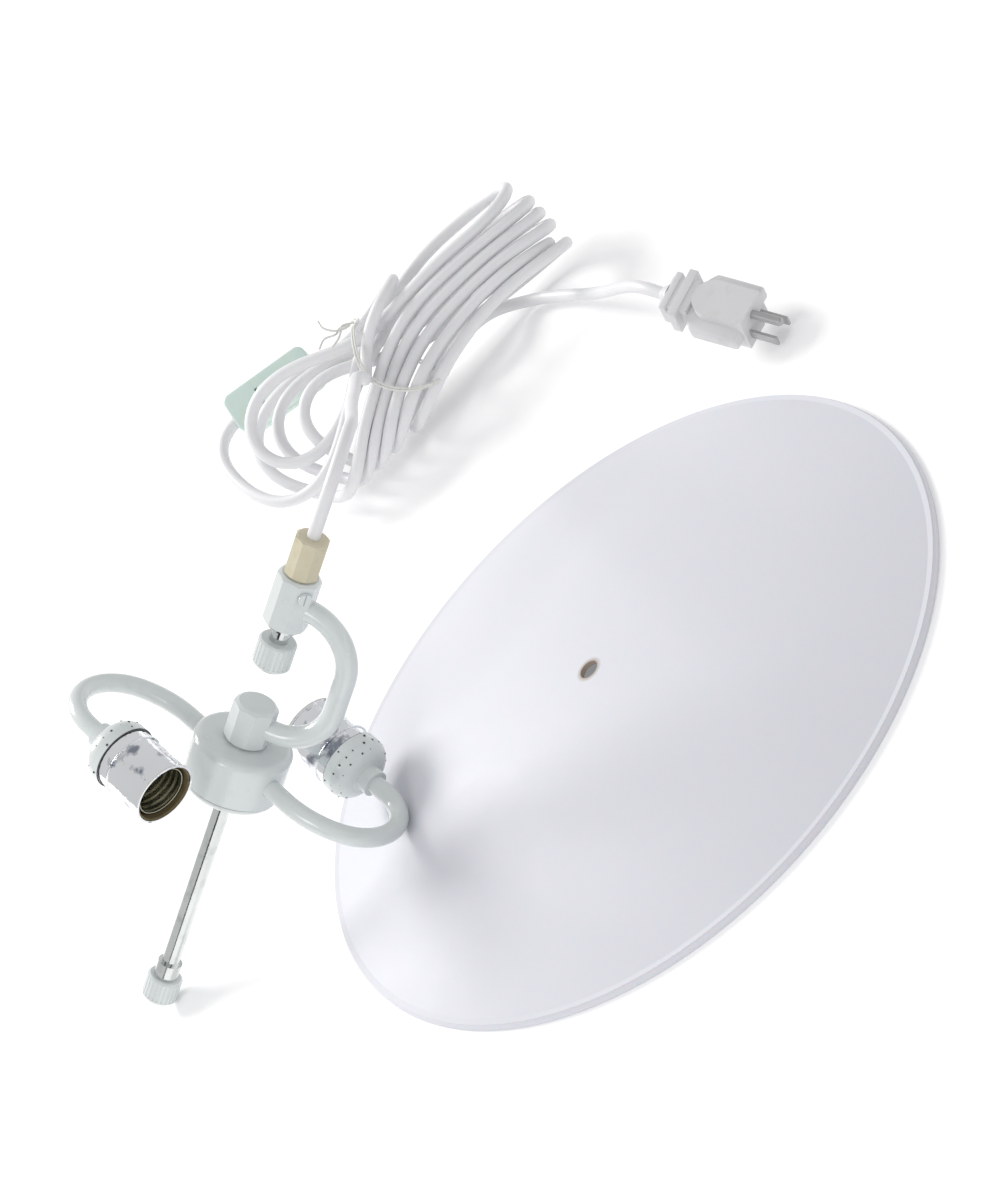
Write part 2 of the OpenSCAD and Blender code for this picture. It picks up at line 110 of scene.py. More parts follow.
# x, rise and depth in the hank. Each fold turns from the open face to the back or the other way.
switchRun = [
    (50, 81, 27), (61, 87, 27), (73, 91, 25), (82, 94, 18), (86, 95, 8), (84, 95, -4), (75, 94, -14),
    (62, 93, -19), (48, 93, -22), (37, 94, -27), (24, 98, -31.5), (-1.6, 104, -31.5), (-28, 110, -31.5),
]
outerLoop = [
    (-40, 109, -29), (-48, 101, -24), (-51, 88, -17), (-51, 74, -9), (-47, 61, -2), (-37, 52, 4),
    (-23, 48, 10), (-9, 51, 14), (8, 59, 17), (26, 69, 16), (42, 79, 9), (58, 86, 0), (75, 90, -8),
    (90, 92, -14), (108, 93, -19), (132, 91, -21),
]
topFinger = [
    (144, 89, -20), (156, 87, -16), (163, 85, -7), (164, 82, 6), (157, 79, 16), (144, 78, 20),
    (117, 82, 21), (92, 83, 20), (67, 84, 17),
]
frontLoop = [
    (45, 87, 16), (32, 95, 16), (18, 102, 15), (3, 107, 13), (-11, 107, 11), (-22, 103, 9),
    (-29, 94, 8), (-31, 82, 7), (-27, 70, 8), (-18, 63, 9), (-6, 60, 10), (8, 62, 8),
    (24, 68, 2), (40, 74, -6), (58, 78, -12), (78, 80, -17), (100, 81, -20), (130, 78, -21),
]
fingerTwo = [
    (146, 74, -20), (158, 72, -16), (166, 70, -7), (167, 67, 6), (160, 67, 16), (147, 69, 20),
    (130, 72, 21), (100, 75, 21), (74, 75, 20), (60, 71, 18), (46, 64, 18), (34, 58, 18),
    (21, 50, 18), (8, 43, 17), (-4, 37, 14), (-13, 33, 8), (-18, 33, -1), (-21, 37, -10),
]
lowLoop = [
    (-27, 47, -16), (-33, 59, -19), (-36, 72, -20), (-34, 86, -20), (-25, 96, -19), (-8, 101, -19),
    (12, 100, -19), (30, 95, -20), (48, 88, -21), (66, 81, -21), (82, 75, -21),
    (100, 72, -21), (130, 69, -21),
]
fingerThree = [
    (145, 65, -20), (157, 63, -16), (165, 61, -7), (166, 58, 6), (159, 59, 16), (146, 62, 20),
    (126, 65, 21), (101, 67, 21), (74, 67, 20), (55, 61, 18), (33, 52, 17), (18, 43, 16),
    (6, 37, 13), (-2, 33, 6), (-5, 32, -3), (-7, 36, -11), (-12, 44, -15),
]
innerLoop = [
    (-18, 54, -16), (-21, 65, -15), (-21, 77, -14), (-17, 88, -13), (-6, 95, -12), (8, 96, -11),
    (24, 93, -11), (40, 87, -13), (58, 79, -16), (75, 70, -19), (100, 64, -21), (130, 61, -21),
]
fingerFour = [
    (145, 57, -20), (157, 54, -16), (164, 52, -7), (165, 49, 6), (158, 50, 16), (146, 54, 20),
    (131, 57, 21), (103, 59, 21), (75, 59, 20), (54, 53, 19), (41, 48, 18), (27, 42, 17),
    (16, 36, 13), (8, 32, 6), (5, 32, -3), (3, 37, -10),
]
deepLoop = [
    (-1, 47, -11), (-5, 59, -9), (-6, 71, -8), (-2, 81, -7), (8, 88, -6), (20, 88, -6),
    (33, 83, -8), (46, 75, -11), (60, 66, -15), (78, 58, -19), (100, 55, -21), (125, 51, -21),
]
fingerFive = [
    (137, 48, -20), (149, 46, -16), (156, 44, -7), (157, 43, 6), (150, 44, 16), (138, 48, 20),
    (121, 51, 21), (96, 51, 21), (73, 50, 20), (58, 45, 19), (41, 41, 18),
    (30, 35, 14), (22, 31, 6), (19, 31, -3), (21, 33, -12), (28, 36, -18),
    (42, 42, -20), (60, 46, -21), (80, 48, -21), (105, 46, -21), (130, 42, -21),
]
fingerSix = [
    (144, 40, -20), (156, 38, -16), (163, 37, -7), (163, 36, 6), (157, 36, 15), (146, 39, 19),
    (126, 43, 20), (98, 43, 19), (74, 40, 18), (58, 36, 16), (47, 32, 12),
    (38, 29, 5), (35, 29, -4), (38, 32, -11), (47, 36, -14), (60, 39, -12), (74, 41, -8),
]
tailRoute = [
    (140, 326, 23), (157, 333, 14), (174, 326, 7), (186, 306, 7), (195, 280, 11),
    (202, 252, 20), (207, 226, 31), (211.5, 202, 39.5), (214.8, 187.5, 40.5), (218.8, 175, 36.5),
]


def smoothLine(route, step):
    # a curve through the points, in even steps
    points = [np.array(p, float) for p in route]
    line = []
    for i in range(len(points) - 1):
        b, c = points[i], points[i + 1]
        a = points[i - 1] if i else 2 * b - c
        d = points[i + 2] if i < len(points) - 2 else 2 * c - b
        for t in np.linspace(0, 1, 24, endpoint=False):
            line.append(0.5 * (2 * b + (c - a) * t + (2 * a - 5 * b + 4 * c - d) * t * t
                               + (3 * b - a - 3 * c + d) * t ** 3))
    line.append(points[-1])
    line = np.array(line)
    along = np.concatenate([[0], np.cumsum(np.linalg.norm(np.diff(line, axis=0), axis=1))])
    even = np.linspace(0, along[-1], int(round(along[-1] / step)) + 1)
    return np.stack([np.interp(even, along, line[:, k]) for k in range(3)], axis=1)


def settle(line, fixed, setup):
    # strands push each other apart, stiff cord evens its own bends, and nothing sinks in the floor
    count = len(line)
    rest = np.linalg.norm(np.diff(line, axis=0), axis=1)
    apart = np.abs(np.subtract.outer(np.arange(count), np.arange(count))) > 4
    upper = np.triu(apart)
    free = (~fixed).astype(float)[:, None]
    for round_ in range(setup["rounds"]):
        gap = line[:, None] - line[None]
        reach = np.linalg.norm(gap, axis=2)
        near = upper & (reach < setup["diameter"])
        one, two = np.nonzero(near)
        away = gap[one, two] / (reach[one, two][:, None] + 1e-6)
        push = 0.25 * away * (setup["diameter"] - reach[one, two])[:, None]
        move = np.zeros_like(line)
        np.add.at(move, one, push)
        np.add.at(move, two, -push)
        line = line + move * free
        bend = np.zeros_like(line)
        bend[1:-1] = 0.5 * (line[:-2] + line[2:]) - line[1:-1]
        even = bend.copy()
        even[1:-1] -= 0.5 * (bend[:-2] + bend[2:])
        line = line + 0.35 * even * free
        for pass_ in range(2):
            run = np.diff(line, axis=0)
            size = np.linalg.norm(run, axis=1)
            fix = 0.25 * run * ((size - rest) / size)[:, None]
            line[:-1] += fix * free[:-1]
            line[1:] -= fix * free[1:]
        low = setup["floor"] - line[:, 2]
        line[:, 2] += np.where((low > 0) & ~fixed, low, 0)
    return line


def cordCurve(name, line, diameter):
    data = bpy.data.curves.new(name, "CURVE")
    data.dimensions = "3D"
    data.bevel_depth = diameter / 2 * mm
    data.bevel_resolution = 3
    data.use_fill_caps = True
    spline = data.splines.new("POLY")
    spline.points.add(len(line) - 1)
    for point, place in zip(spline.points, line):
        point.co = (*[v * mm for v in place], 1)
    piece = bpy.data.objects.new(name, data)
    bpy.context.scene.collection.objects.link(piece)
    return piece


hankRoute = (switchRun + outerLoop + topFinger + frontLoop + fingerTwo + lowLoop + fingerThree
             + innerLoop + fingerFour + deepLoop + fingerFive + fingerSix)
wholeRoute = leadRoute + [inHank(*p) for p in hankRoute] + tailRoute
rough = smoothLine(wholeRoute, cordSetup["step"])
switchEnds = [np.array(inHank(24, 98, -31.5)), np.array(inHank(-28, 110, -31.5))]
nearSwitch = [int(np.argmin(np.linalg.norm(rough - end, axis=1))) for end in switchEnds]
held = np.zeros(len(rough), bool)
leadCount = int(np.argmin(np.linalg.norm(rough - np.array(leadRoute[-1]), axis=1))) - 4
tailCount = int(np.argmin(np.linalg.norm(rough - np.array(tailRoute[0]), axis=1)))
held[:leadCount] = True
held[tailCount + 8:] = True
held[nearSwitch[0]:nearSwitch[1] + 1] = True
settled = settle(rough, held, cordSetup)
cordLine = smoothLine(settled[::2] if len(settled) % 2 else np.vstack([settled[:-1:2], settled[-1]]), 3.0)
cord = cordCurve("supplyCord", cordLine, cordSetup["diameter"])

# Materials


class Flow:
    # a socket that can be added, multiplied and fed to further nodes

    def __init__(self, tree, socket):
        self.tree = tree
        self.socket = socket

    def node(self, kind, settings=None, inputs=None, output=0):
        made = self.tree.nodes.new("ShaderNode" + kind)
        for name, value in (settings or {}).items():
            if name == "stops":
                while len(made.color_ramp.elements) < len(value):
                    made.color_ramp.elements.new(0.5)
                for stop, (place, shade) in zip(made.color_ramp.elements, value):
                    stop.position = place
                    stop.color = (shade, shade, shade, 1)
            else:
                setattr(made, name, value)
        for name, value in (inputs or {}).items():
            slot = made.inputs[name]
            if isinstance(value, Flow):
                self.tree.links.new(value.socket, slot)
            else:
                slot.default_value = value
        return Flow(self.tree, made.outputs[output])

    def maths(self, operation, one, two=0.0):
        return self.node("Math", {"operation": operation}, {0: one, 1: two})

    def __add__(self, other):
        return self.maths("ADD", self, other)

    def __radd__(self, other):
        return self.maths("ADD", other, self)

    def __sub__(self, other):
        return self.maths("SUBTRACT", self, other)

    def __rsub__(self, other):
        return self.maths("SUBTRACT", other, self)

    def __mul__(self, other):
        return self.maths("MULTIPLY", self, other)

    def __rmul__(self, other):
        return self.maths("MULTIPLY", other, self)

    def noise(self, scale, detail=3.0):
        return self.node("TexNoise", {}, {"Vector": self, "Scale": scale, "Detail": detail})

    def stops(self, *pairs):
        return self.node("ValToRGB", {"stops": pairs}, {"Fac": self})

    def blend(self, one, two):
        ends = [(*end, 1) if isinstance(end, tuple) else end for end in (one, two)]
        return self.node("Mix", {"data_type": "RGBA"}, {0: self, 6: ends[0], 7: ends[1]}, 2)


def startMaterial(name, constants):
    material = bpy.data.materials.new(name)
    material.use_nodes = True
    tree = material.node_tree
    shader = tree.nodes["Principled BSDF"]
    for slot, value in constants.items():
        shader.inputs[slot].default_value = value
    place = tree.nodes.new("ShaderNodeTexCoord")
    return material, shader, Flow(tree, place.outputs["Object"])


def plug(shader, slot, value):
    value.tree.links.new(value.socket, shader.inputs[slot])


def bump(height, strength, depth):
    return height.node("Bump", {}, {"Height": height, "Strength": strength, "Distance": depth})


# Two tints, the wear over them (on wrinkledChrome a painted reflection: dark bluish patches), and the grain
# of each finish. Grain and lumps are noise scales per metre.
finishes = {
    "whiteEnamel": {
        "tints": ((0.64, 0.68, 0.675), (0.7, 0.735, 0.73)),
        "dirtAndReflection": (0.5, 0.53, 0.52), "dirtAndReflectionAmount": 0.15,
        "rough": (0.16, 0.32), "grain": 900, "lumps": 160, "depth": 0.00025,
        "shader": {"Coat Weight": 0.4, "Coat Roughness": 0.08, "Specular IOR Level": 0.6},
    },
    "ivoryPlastic": {
        "tints": ((0.56, 0.51, 0.36), (0.66, 0.61, 0.47)),
        "dirtAndReflection": (0.4, 0.35, 0.22), "dirtAndReflectionAmount": 0.3,
        "rough": (0.38, 0.58), "grain": 1400, "lumps": 220, "depth": 0.0002,
        "shader": {"Subsurface Weight": 0.08, "Subsurface Scale": 0.002},
    },
    "platedSteel": {
        "tints": ((0.6, 0.63, 0.62), (0.8, 0.82, 0.81)),
        "dirtAndReflection": (0.32, 0.36, 0.34), "dirtAndReflectionAmount": 0.35,
        "rough": (0.06, 0.2), "grain": 700, "lumps": 110, "depth": 0.0002,
        "shader": {"Metallic": 1.0},
    },
    # painted reflection: dark bluish patches in this chrome's colour stand in for dark surroundings mirrored
    # in the shells
    "wrinkledChrome": {
        "tints": ((0.8, 0.82, 0.84), (0.93, 0.94, 0.95)),
        "dirtAndReflection": (0.12, 0.14, 0.2), "dirtAndReflectionAmount": 0.8,
        "rough": (0.03, 0.12), "grain": 300, "lumps": 95, "depth": 0.0025,
        "wearAndReflectionFrom": (0.56, 0.66),
        "shader": {"Metallic": 1.0},
    },
    "zincSteel": {
        "tints": ((0.5, 0.5, 0.47), (0.63, 0.62, 0.58)),
        "dirtAndReflection": (0.3, 0.28, 0.22), "dirtAndReflectionAmount": 0.5,
        "rough": (0.3, 0.5), "grain": 900, "lumps": 200, "depth": 0.0003,
        "shader": {"Metallic": 1.0},
    },
    "brownLiner": {
        "tints": ((0.1, 0.075, 0.03), (0.17, 0.13, 0.06)),
        "dirtAndReflection": (0.05, 0.04, 0.02), "dirtAndReflectionAmount": 0.6,
        "rough": (0.6, 0.85), "grain": 1600, "lumps": 300, "depth": 0.0004,
        "shader": {},
    },
    "dullBrass": {
        "tints": ((0.42, 0.42, 0.33), (0.6, 0.58, 0.44)),
        "dirtAndReflection": (0.16, 0.18, 0.14), "dirtAndReflectionAmount": 0.55,
        "rough": (0.22, 0.45), "grain": 900, "lumps": 180, "depth": 0.0003,
        "shader": {"Metallic": 1.0},
    },
    "darkPhenolic": {
        "tints": ((0.03, 0.03, 0.028), (0.06, 0.055, 0.05)),
        "dirtAndReflection": (0.1, 0.09, 0.07), "dirtAndReflectionAmount": 0.3,
        "rough": (0.4, 0.6), "grain": 1200, "lumps": 200, "depth": 0.0002,
        "shader": {},
    },
    "yellowPlastic": {
        "tints": ((0.72, 0.52, 0.1), (0.8, 0.6, 0.15)),
        "dirtAndReflection": (0.4, 0.3, 0.1), "dirtAndReflectionAmount": 0.3,
        "rough": (0.35, 0.5), "grain": 1200, "lumps": 200, "depth": 0.0002,
        "shader": {},
    },
    "mintPlastic": {
        "tints": ((0.58, 0.72, 0.66), (0.66, 0.77, 0.72)),
        "dirtAndReflection": (0.6, 0.64, 0.42), "dirtAndReflectionAmount": 0.2,
        "rough": (0.3, 0.45), "grain": 1300, "lumps": 150, "depth": 0.0002,
        "shader": {"Specular IOR Level": 0.5},
    },
    "mintRocker": {
        "tints": ((0.68, 0.8, 0.74), (0.76, 0.86, 0.81)),
        "dirtAndReflection": (0.5, 0.55, 0.45), "dirtAndReflectionAmount": 0.3,
        "rough": (0.25, 0.4), "grain": 1300, "lumps": 150, "depth": 0.0002,
        "shader": {},
    },
    "plugVinyl": {
        "tints": ((0.68, 0.68, 0.685), (0.74, 0.74, 0.745)),
        "dirtAndReflection": (0.42, 0.42, 0.42), "dirtAndReflectionAmount": 0.15,
        "rough": (0.4, 0.58), "grain": 1500, "lumps": 170, "depth": 0.0003,
        "shader": {"Specular IOR Level": 0.4},
    },
    "pinSteel": {
        "tints": ((0.42, 0.42, 0.42), (0.52, 0.52, 0.52)),
        "dirtAndReflection": (0.32, 0.32, 0.32), "dirtAndReflectionAmount": 0.25,
        "rough": (0.28, 0.46), "grain": 1200, "lumps": 200, "depth": 0.0002,
        "shader": {"Metallic": 0.6},
    },
    "tieWire": {
        "tints": ((0.7, 0.7, 0.66), (0.8, 0.8, 0.77)),
        "dirtAndReflection": (0.45, 0.45, 0.42), "dirtAndReflectionAmount": 0.5,
        "rough": (0.35, 0.55), "grain": 1800, "lumps": 600, "depth": 0.0002,
        "shader": {},
    },
    # nearly black: painted shade inside the cap's vent holes, and the dark seam line where cap and shell
    # meet
    "ventDark": {
        "tints": ((0.05, 0.055, 0.06), (0.09, 0.095, 0.1)),
        "dirtAndReflection": (0.16, 0.16, 0.16), "dirtAndReflectionAmount": 0.3,
        "rough": (0.5, 0.8), "grain": 1500, "lumps": 500, "depth": 0.0001,
        "shader": {},
    },
    "cordVinyl": {
        "tints": ((0.76, 0.76, 0.775), (0.8, 0.8, 0.812)),
        "dirtAndReflection": (0.7, 0.7, 0.7), "dirtAndReflectionAmount": 0.15,
        "rough": (0.34, 0.5), "grain": 1100, "lumps": 90, "depth": 0.0003,
        "shader": {"Specular IOR Level": 0.45, "Subsurface Weight": 0.05, "Subsurface Scale": 0.002},
    },
}


def makeFinish(name, look):
    material, shader, place = startMaterial(name, look["shader"])
    broad = place.noise(look["lumps"] * 0.35, 2.0)
    lumps = place.noise(look["lumps"])
    grain = place.noise(look["grain"], 2.0)
    colour = broad.blend(*look["tints"])
    start, full = look.get("wearAndReflectionFrom", (0.56, 0.74))
    # patches of the dark tint: real wear and dirt on most finishes, painted reflections on wrinkledChrome
    wearAndReflection = lumps.stops((start, 0.0), (full, 1.0)) * look["dirtAndReflectionAmount"]
    colour = wearAndReflection.blend(colour, look["dirtAndReflection"])
    plug(shader, "Base Color", colour)
    smooth, dull = look["rough"]
    plug(shader, "Roughness", smooth + (dull - smooth) * lumps)
    plug(shader, "Normal", bump(lumps * 0.75 + grain * 0.25, 0.35, look["depth"]))
    return material


made = {name: makeFinish(name, look) for name, look in finishes.items()}

diffuserLook = {"centre": (46.0, 0.0), "hole": 5.3,
                "body": (0.69, 0.695, 0.745), "pale": (0.715, 0.72, 0.765),
                "holeShade": (0.30, 0.20, 0.08)}


def makeDiffuserFinish(look):
    constants = {"Specular IOR Level": 0.25, "Subsurface Weight": 0.1, "Subsurface Scale": 0.004}
    material, shader, place = startMaterial("satinAcrylic", constants)
    middle = (look["centre"][0] * mm, look["centre"][1] * mm, 0)
    across = place.node("VectorMath", {"operation": "SUBTRACT"}, {0: place, 1: middle})
    flat = across.node("VectorMath", {"operation": "MULTIPLY"}, {0: across, 1: (1, 1, 0)})
    radius = flat.node("VectorMath", {"operation": "LENGTH"}, {0: flat}, "Value")
    cloud = place.noise(9, 2.0)
    colour = cloud.blend(look["body"], look["pale"])
    edge = look["hole"] * mm
    # painted shade: a brown ring on the hole's rim and wall, for the shade seen through the hole
    holeShadeMask = radius.stops((edge * 1.02, 1.0), (edge * 1.12, 0.0))
    colour = holeShadeMask.blend(colour, look["holeShade"])
    plug(shader, "Base Color", colour)
    plug(shader, "Roughness", 0.42 + 0.14 * place.noise(60))
    plug(shader, "Normal", bump(place.noise(1500, 2.0) * 0.3 + place.noise(22) * 0.7, 0.15, 0.0004))
    return material


made["satinAcrylic"] = makeDiffuserFinish(diffuserLook)

nodeFinishes = {
    "whiteEnamel": ["bow_sleeve", "sleeve_screw", "c_bow", "cap_nut", "hub_block", "hub_shell", "hub_saucer",
                    "finial", "arm_left", "arm_return_left", "arm_nipple_left", "arm_right",
                    "arm_return_right",
                    "arm_nipple_right", "socket_cap_left", "socket_cap_right"],
    "ivoryPlastic": ["cord_bushing"],
    "platedSteel": ["shade_stud", "stud_washer", "centre_rod", "rod_collar"],
    "wrinkledChrome": ["socket_shell_left", "socket_shell_right"],
    "zincSteel": ["hub_stem", "stem_nuts", "arm_nut_left", "arm_nut_right"],
    "yellowPlastic": ["wire_caps"],
    "brownLiner": ["socket_liner_left", "socket_liner_right"],
    "dullBrass": ["centre_contact_left", "centre_contact_right"],
    "darkPhenolic": ["socket_base_left", "socket_base_right"],
    "satinAcrylic": ["diffuser"],
    "pinSteel": ["plug_blades", "plug_earth_pin"],
    "mintRocker": ["switch_rocker"],
}
for finish, nodes in nodeFinishes.items():
    for nodeName in nodes:
        held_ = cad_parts[nodeName]
        if not held_.material_slots:
            held_.data.materials.append(made[finish])
        for slot_ in held_.material_slots:
            slot_.material = made[finish]
print("finishes made")

# Shared modelling steps


def deselect():
    if bpy.context.mode != "OBJECT":
        bpy.ops.object.mode_set(mode="OBJECT")
    bpy.ops.object.select_all(action="DESELECT")


def finishPiece(piece, place, material, body, smooth=35):
    # clean mesh and normals, then the piece's place goes into its mesh, in metres
    bpy.context.view_layer.objects.active = piece
    piece.select_set(True)
    bpy.ops.object.mode_set(mode="EDIT")
    bpy.ops.mesh.select_all(action="SELECT")
    bpy.ops.mesh.remove_doubles(threshold=0.001)
    bpy.ops.mesh.normals_make_consistent(inside=False)
    bpy.ops.object.mode_set(mode="OBJECT")
    piece.data.transform(Matrix.Scale(mm, 4) @ place)
    bpy.ops.object.shade_smooth_by_angle(angle=math.radians(smooth))
    piece.data.materials.clear()
    piece.data.materials.append(material)
    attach(piece, body)
    deselect()
    return piece


def startCube(name, size, middle):
    deselect()
    bpy.ops.mesh.primitive_cube_add(size=1, location=(0, 0, 0))
    piece = bpy.context.object
    piece.name = name
    piece.data.transform(Matrix.Translation(middle) @ Matrix.Diagonal((*size, 1)))
    return piece


def pickFaces(piece, wanted):
    # selects faces by their middle and normal, and leaves the piece in edit mode
    bpy.context.view_layer.objects.active = piece
    bpy.ops.object.mode_set(mode="EDIT")
    bpy.ops.mesh.select_mode(type="FACE")
    bpy.ops.mesh.select_all(action="DESELECT")
    shape = bmesh.from_edit_mesh(piece.data)
    for face in shape.faces:
        face.select_set(bool(wanted(face.calc_center_median(), face.normal)))
    bmesh.update_edit_mesh(piece.data)


def growTop(piece, rise, widen):
    # extrudes the selected top faces and scales them about the axis
    top = max(v.co.z for v in bmesh.from_edit_mesh(piece.data).verts)
    bpy.ops.mesh.extrude_region_move(TRANSFORM_OT_translate={"value": (0, 0, rise)})
    bpy.ops.transform.resize(value=(widen[0], widen[1], 1), center_override=(0, 0, top + rise))


def joinPieces(first, *others):
    deselect()
    for other in (first, *others):
        other.select_set(True)
    bpy.context.view_layer.objects.active = first
    bpy.ops.object.join()
    return first


# Plug

plugSetup = {"at": (218.8, 175.0, 36.5), "pitch": 25.0, "heading": -66.0, "length": 52.0,
             "steps": [(11, 18, 0), (14, 23, 1.5), (14, 23, 5), (12, 19, 5), (12, 19, 8), (16, 29, 8),
                       (16, 29, 13),
                       (14, 20, 13), (14, 20, 17)],
             "core": (23, 22), "wing": (9, 36)}
onPlug = (Matrix.Translation(plugSetup["at"]) @ turned("Z", plugSetup["heading"])
          @ turned("Y", 90 + plugSetup["pitch"]) @ turned("Z", 180))


def makePlug(setup):
    thick, wide, low = setup["steps"][0]
    grip = startCube("plugGrip", (thick, wide, 0.5), (0, 0, low + 0.25))
    pickFaces(grip, lambda middle, normal: normal.z > 0.9)
    last = (thick, wide, low + 0.5)
    for thick, wide, level in setup["steps"][1:]:
        growTop(grip, max(level - last[2], 0.02), (thick / last[0], wide / last[1]))
        last = (thick, wide, max(level, last[2] + 0.02))
    bpy.ops.object.mode_set(mode="OBJECT")
    thick, wide = setup["core"]
    shoulder = wide / 2 + 18.5
    core = startCube("plugCore", (thick, wide - 0.4, setup["length"] - shoulder),
                     (0, 0, (setup["length"] + shoulder) / 2))
    deselect()
    bpy.ops.mesh.primitive_cylinder_add(vertices=64, radius=wide / 2, depth=thick, location=(0, 0, 0))
    heel = bpy.context.object
    heel.name = "plugHeel"
    heel.data.transform(Matrix.Translation((0, 0, shoulder)) @ turned("Y", 90))
    deselect()
    core.select_set(True)
    bpy.context.view_layer.objects.active = core
    round_ = core.modifiers.new("heel", "BOOLEAN")
    round_.operation = "UNION"
    round_.solver = "EXACT"
    round_.object = heel
    bpy.ops.object.modifier_apply(modifier="heel")
    bpy.data.objects.remove(heel)
    wingLow, wingHigh = 22, setup["length"] - 2
    wing = startCube("plugWing", (*setup["wing"], wingHigh - wingLow), (0, 0, (wingHigh + wingLow) / 2))
    pickFaces(wing, lambda middle, normal: normal.z < -0.9)
    bpy.ops.mesh.extrude_region_move(TRANSFORM_OT_translate={"value": (0, 0, -6)})
    bpy.ops.transform.resize(value=(0.9, 0.58, 1), center_override=(0, 0, 16))
    bpy.ops.object.mode_set(mode="OBJECT")
    edges = {"plugGrip": 1.0, "plugCore": 1.4, "plugWing": 1.8}
    for piece in (grip, core, wing):
        deselect()
        piece.select_set(True)
        bpy.context.view_layer.objects.active = piece
        edge = piece.modifiers.new("bevel", "BEVEL")
        edge.width = edges[piece.name]
        edge.segments = 4
        edge.limit_method = "ANGLE"
        edge.angle_limit = math.radians(28)
        bpy.ops.object.modifier_apply(modifier="bevel")
    deselect()
    bpy.ops.mesh.primitive_cone_add(vertices=40, radius1=3.7, radius2=7.2, depth=5, location=(0, 0, -1.5))
    neck = bpy.context.object
    plugBody = joinPieces(grip, core, wing, neck)
    plugBody.name = "plugMoulding"
    return finishPiece(plugBody, onPlug, made["plugVinyl"], "fixture")


plugMoulding = makePlug(plugSetup)
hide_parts("plug_body")
print("plug modelled")

# Switch

switchSetup = {"at": (-2.0, 116.0), "turn": -13.0, "size": (54.0, 24.0), "base": 7.0, "case": 11.0,
               "corner": 5.0, "hankHalf": 25.5, "window": (16.6, 10.6)}
switchDepth = -switchSetup["hankHalf"] - switchSetup["case"] - switchSetup["base"]
onSwitch = (onHank @ Matrix.Translation((*switchSetup["at"], switchDepth))
            @ turned("Z", switchSetup["turn"]))


def roundCorners(piece, radius):
    # bevels the four upright edges of a slab
    bpy.ops.object.mode_set(mode="EDIT")
    bpy.ops.mesh.select_mode(type="EDGE")
    bpy.ops.mesh.select_all(action="DESELECT")
    shape = bmesh.from_edit_mesh(piece.data)
    for edge in shape.edges:
        one, two = (vert.co for vert in edge.verts)
        edge.select_set((one.xy - two.xy).length < 0.01 and abs(one.z - two.z) > 1)
    bmesh.update_edit_mesh(piece.data)
    bpy.ops.mesh.bevel(offset=radius, segments=8, affect="EDGES")
    bpy.ops.object.mode_set(mode="OBJECT")


def makeSwitch(setup):
    long, wide = setup["size"]
    base = startCube("switchBase", (long, wide, setup["base"]), (0, 0, setup["base"] / 2))
    top = setup["base"] + setup["case"]
    case = startCube("switchCase", (long, wide, setup["case"]), (0, 0, setup["base"] + setup["case"] / 2))
    deselect()
    bpy.ops.mesh.primitive_cube_add(size=1, location=(0, 0, top))
    cutter = bpy.context.object
    cutter.data.transform(Matrix.Diagonal((*setup["window"], 2 * (setup["case"] - 1.5), 1)))
    results = []
    for piece, edge, cut in ((base, 1.3, False), (case, 1.3, True)):
        deselect()
        piece.select_set(True)
        bpy.context.view_layer.objects.active = piece
        roundCorners(piece, setup["corner"])
        soft = piece.modifiers.new("bevel", "BEVEL")
        soft.width = edge
        soft.segments = 4
        soft.limit_method = "ANGLE"
        soft.angle_limit = math.radians(50)
        bpy.ops.object.modifier_apply(modifier="bevel")
        if cut:
            hollow = piece.modifiers.new("cut", "BOOLEAN")
            hollow.operation = "DIFFERENCE"
            hollow.solver = "EXACT"
            hollow.object = cutter
            bpy.ops.object.modifier_apply(modifier="cut")
        results.append(piece)
    bpy.data.objects.remove(cutter)
    for piece in results:
        finishPiece(piece, onSwitch, made["mintPlastic"], "fixture")
    return results


switchBase, switchCase = makeSwitch(switchSetup)
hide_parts("switch_base")
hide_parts("switch_case")
print("switch modelled")

# Tie round the hank

tieSetup = {"wire": 1.3,
            "round": [(56, 95, 8), (50, 92, 27), (41, 80, 32.5), (37, 68, 29), (40, 55, 27),
                      (48, 44, 26), (57, 38, 24), (64, 36, 14), (66, 36, 0), (66, 42, -16),
                      (63, 54, -26.5), (60, 68, -27.5), (57, 82, -27), (55, 93, -22), (55, 98, -8)],
            "ends": [[(52, 97, 14), (47, 99, 20), (43, 98, 24), (37, 101, 26), (31, 99, 29)],
                     [(52, 96, 16), (48, 97, 22), (44, 100, 24), (41, 106, 24), (42, 111, 22)],
                     [(54, 96, 12), (49, 99, 18), (46, 97, 23), (42, 95, 28), (36, 94, 31)]]}


def makeTie(setup):
    pieces = []
    for shift in (0.0, 1.6):
        ring = [inHank(x + shift, rise, depth) for x, rise, depth in setup["round"]]
        ring = ring + ring[:2]
        line = smoothLine([tuple(p) for p in ring], 2.0)
        pieces.append(cordCurve("tieRing", line, setup["wire"]))
    for end in setup["ends"]:
        line = smoothLine([tuple(inHank(*p)) for p in end], 1.5)
        pieces.append(cordCurve("tieEnd", line, setup["wire"]))
    deselect()
    for piece in pieces:
        piece.data.bevel_resolution = 2
        piece.select_set(True)
    bpy.context.view_layer.objects.active = pieces[0]
    bpy.ops.object.convert(target="MESH")
    tie = joinPieces(pieces[0], *pieces[1:])
    tie.name = "hankTieWire"
    tie.data.materials.clear()
    tie.data.materials.append(made["tieWire"])
    bpy.ops.object.shade_smooth()
    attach(tie, "fixture")
    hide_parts("hank_tie")
    deselect()
    return tie


tieWire = makeTie(tieSetup)
print("tie wound")

# Lamp sockets: threads, vent holes and seams

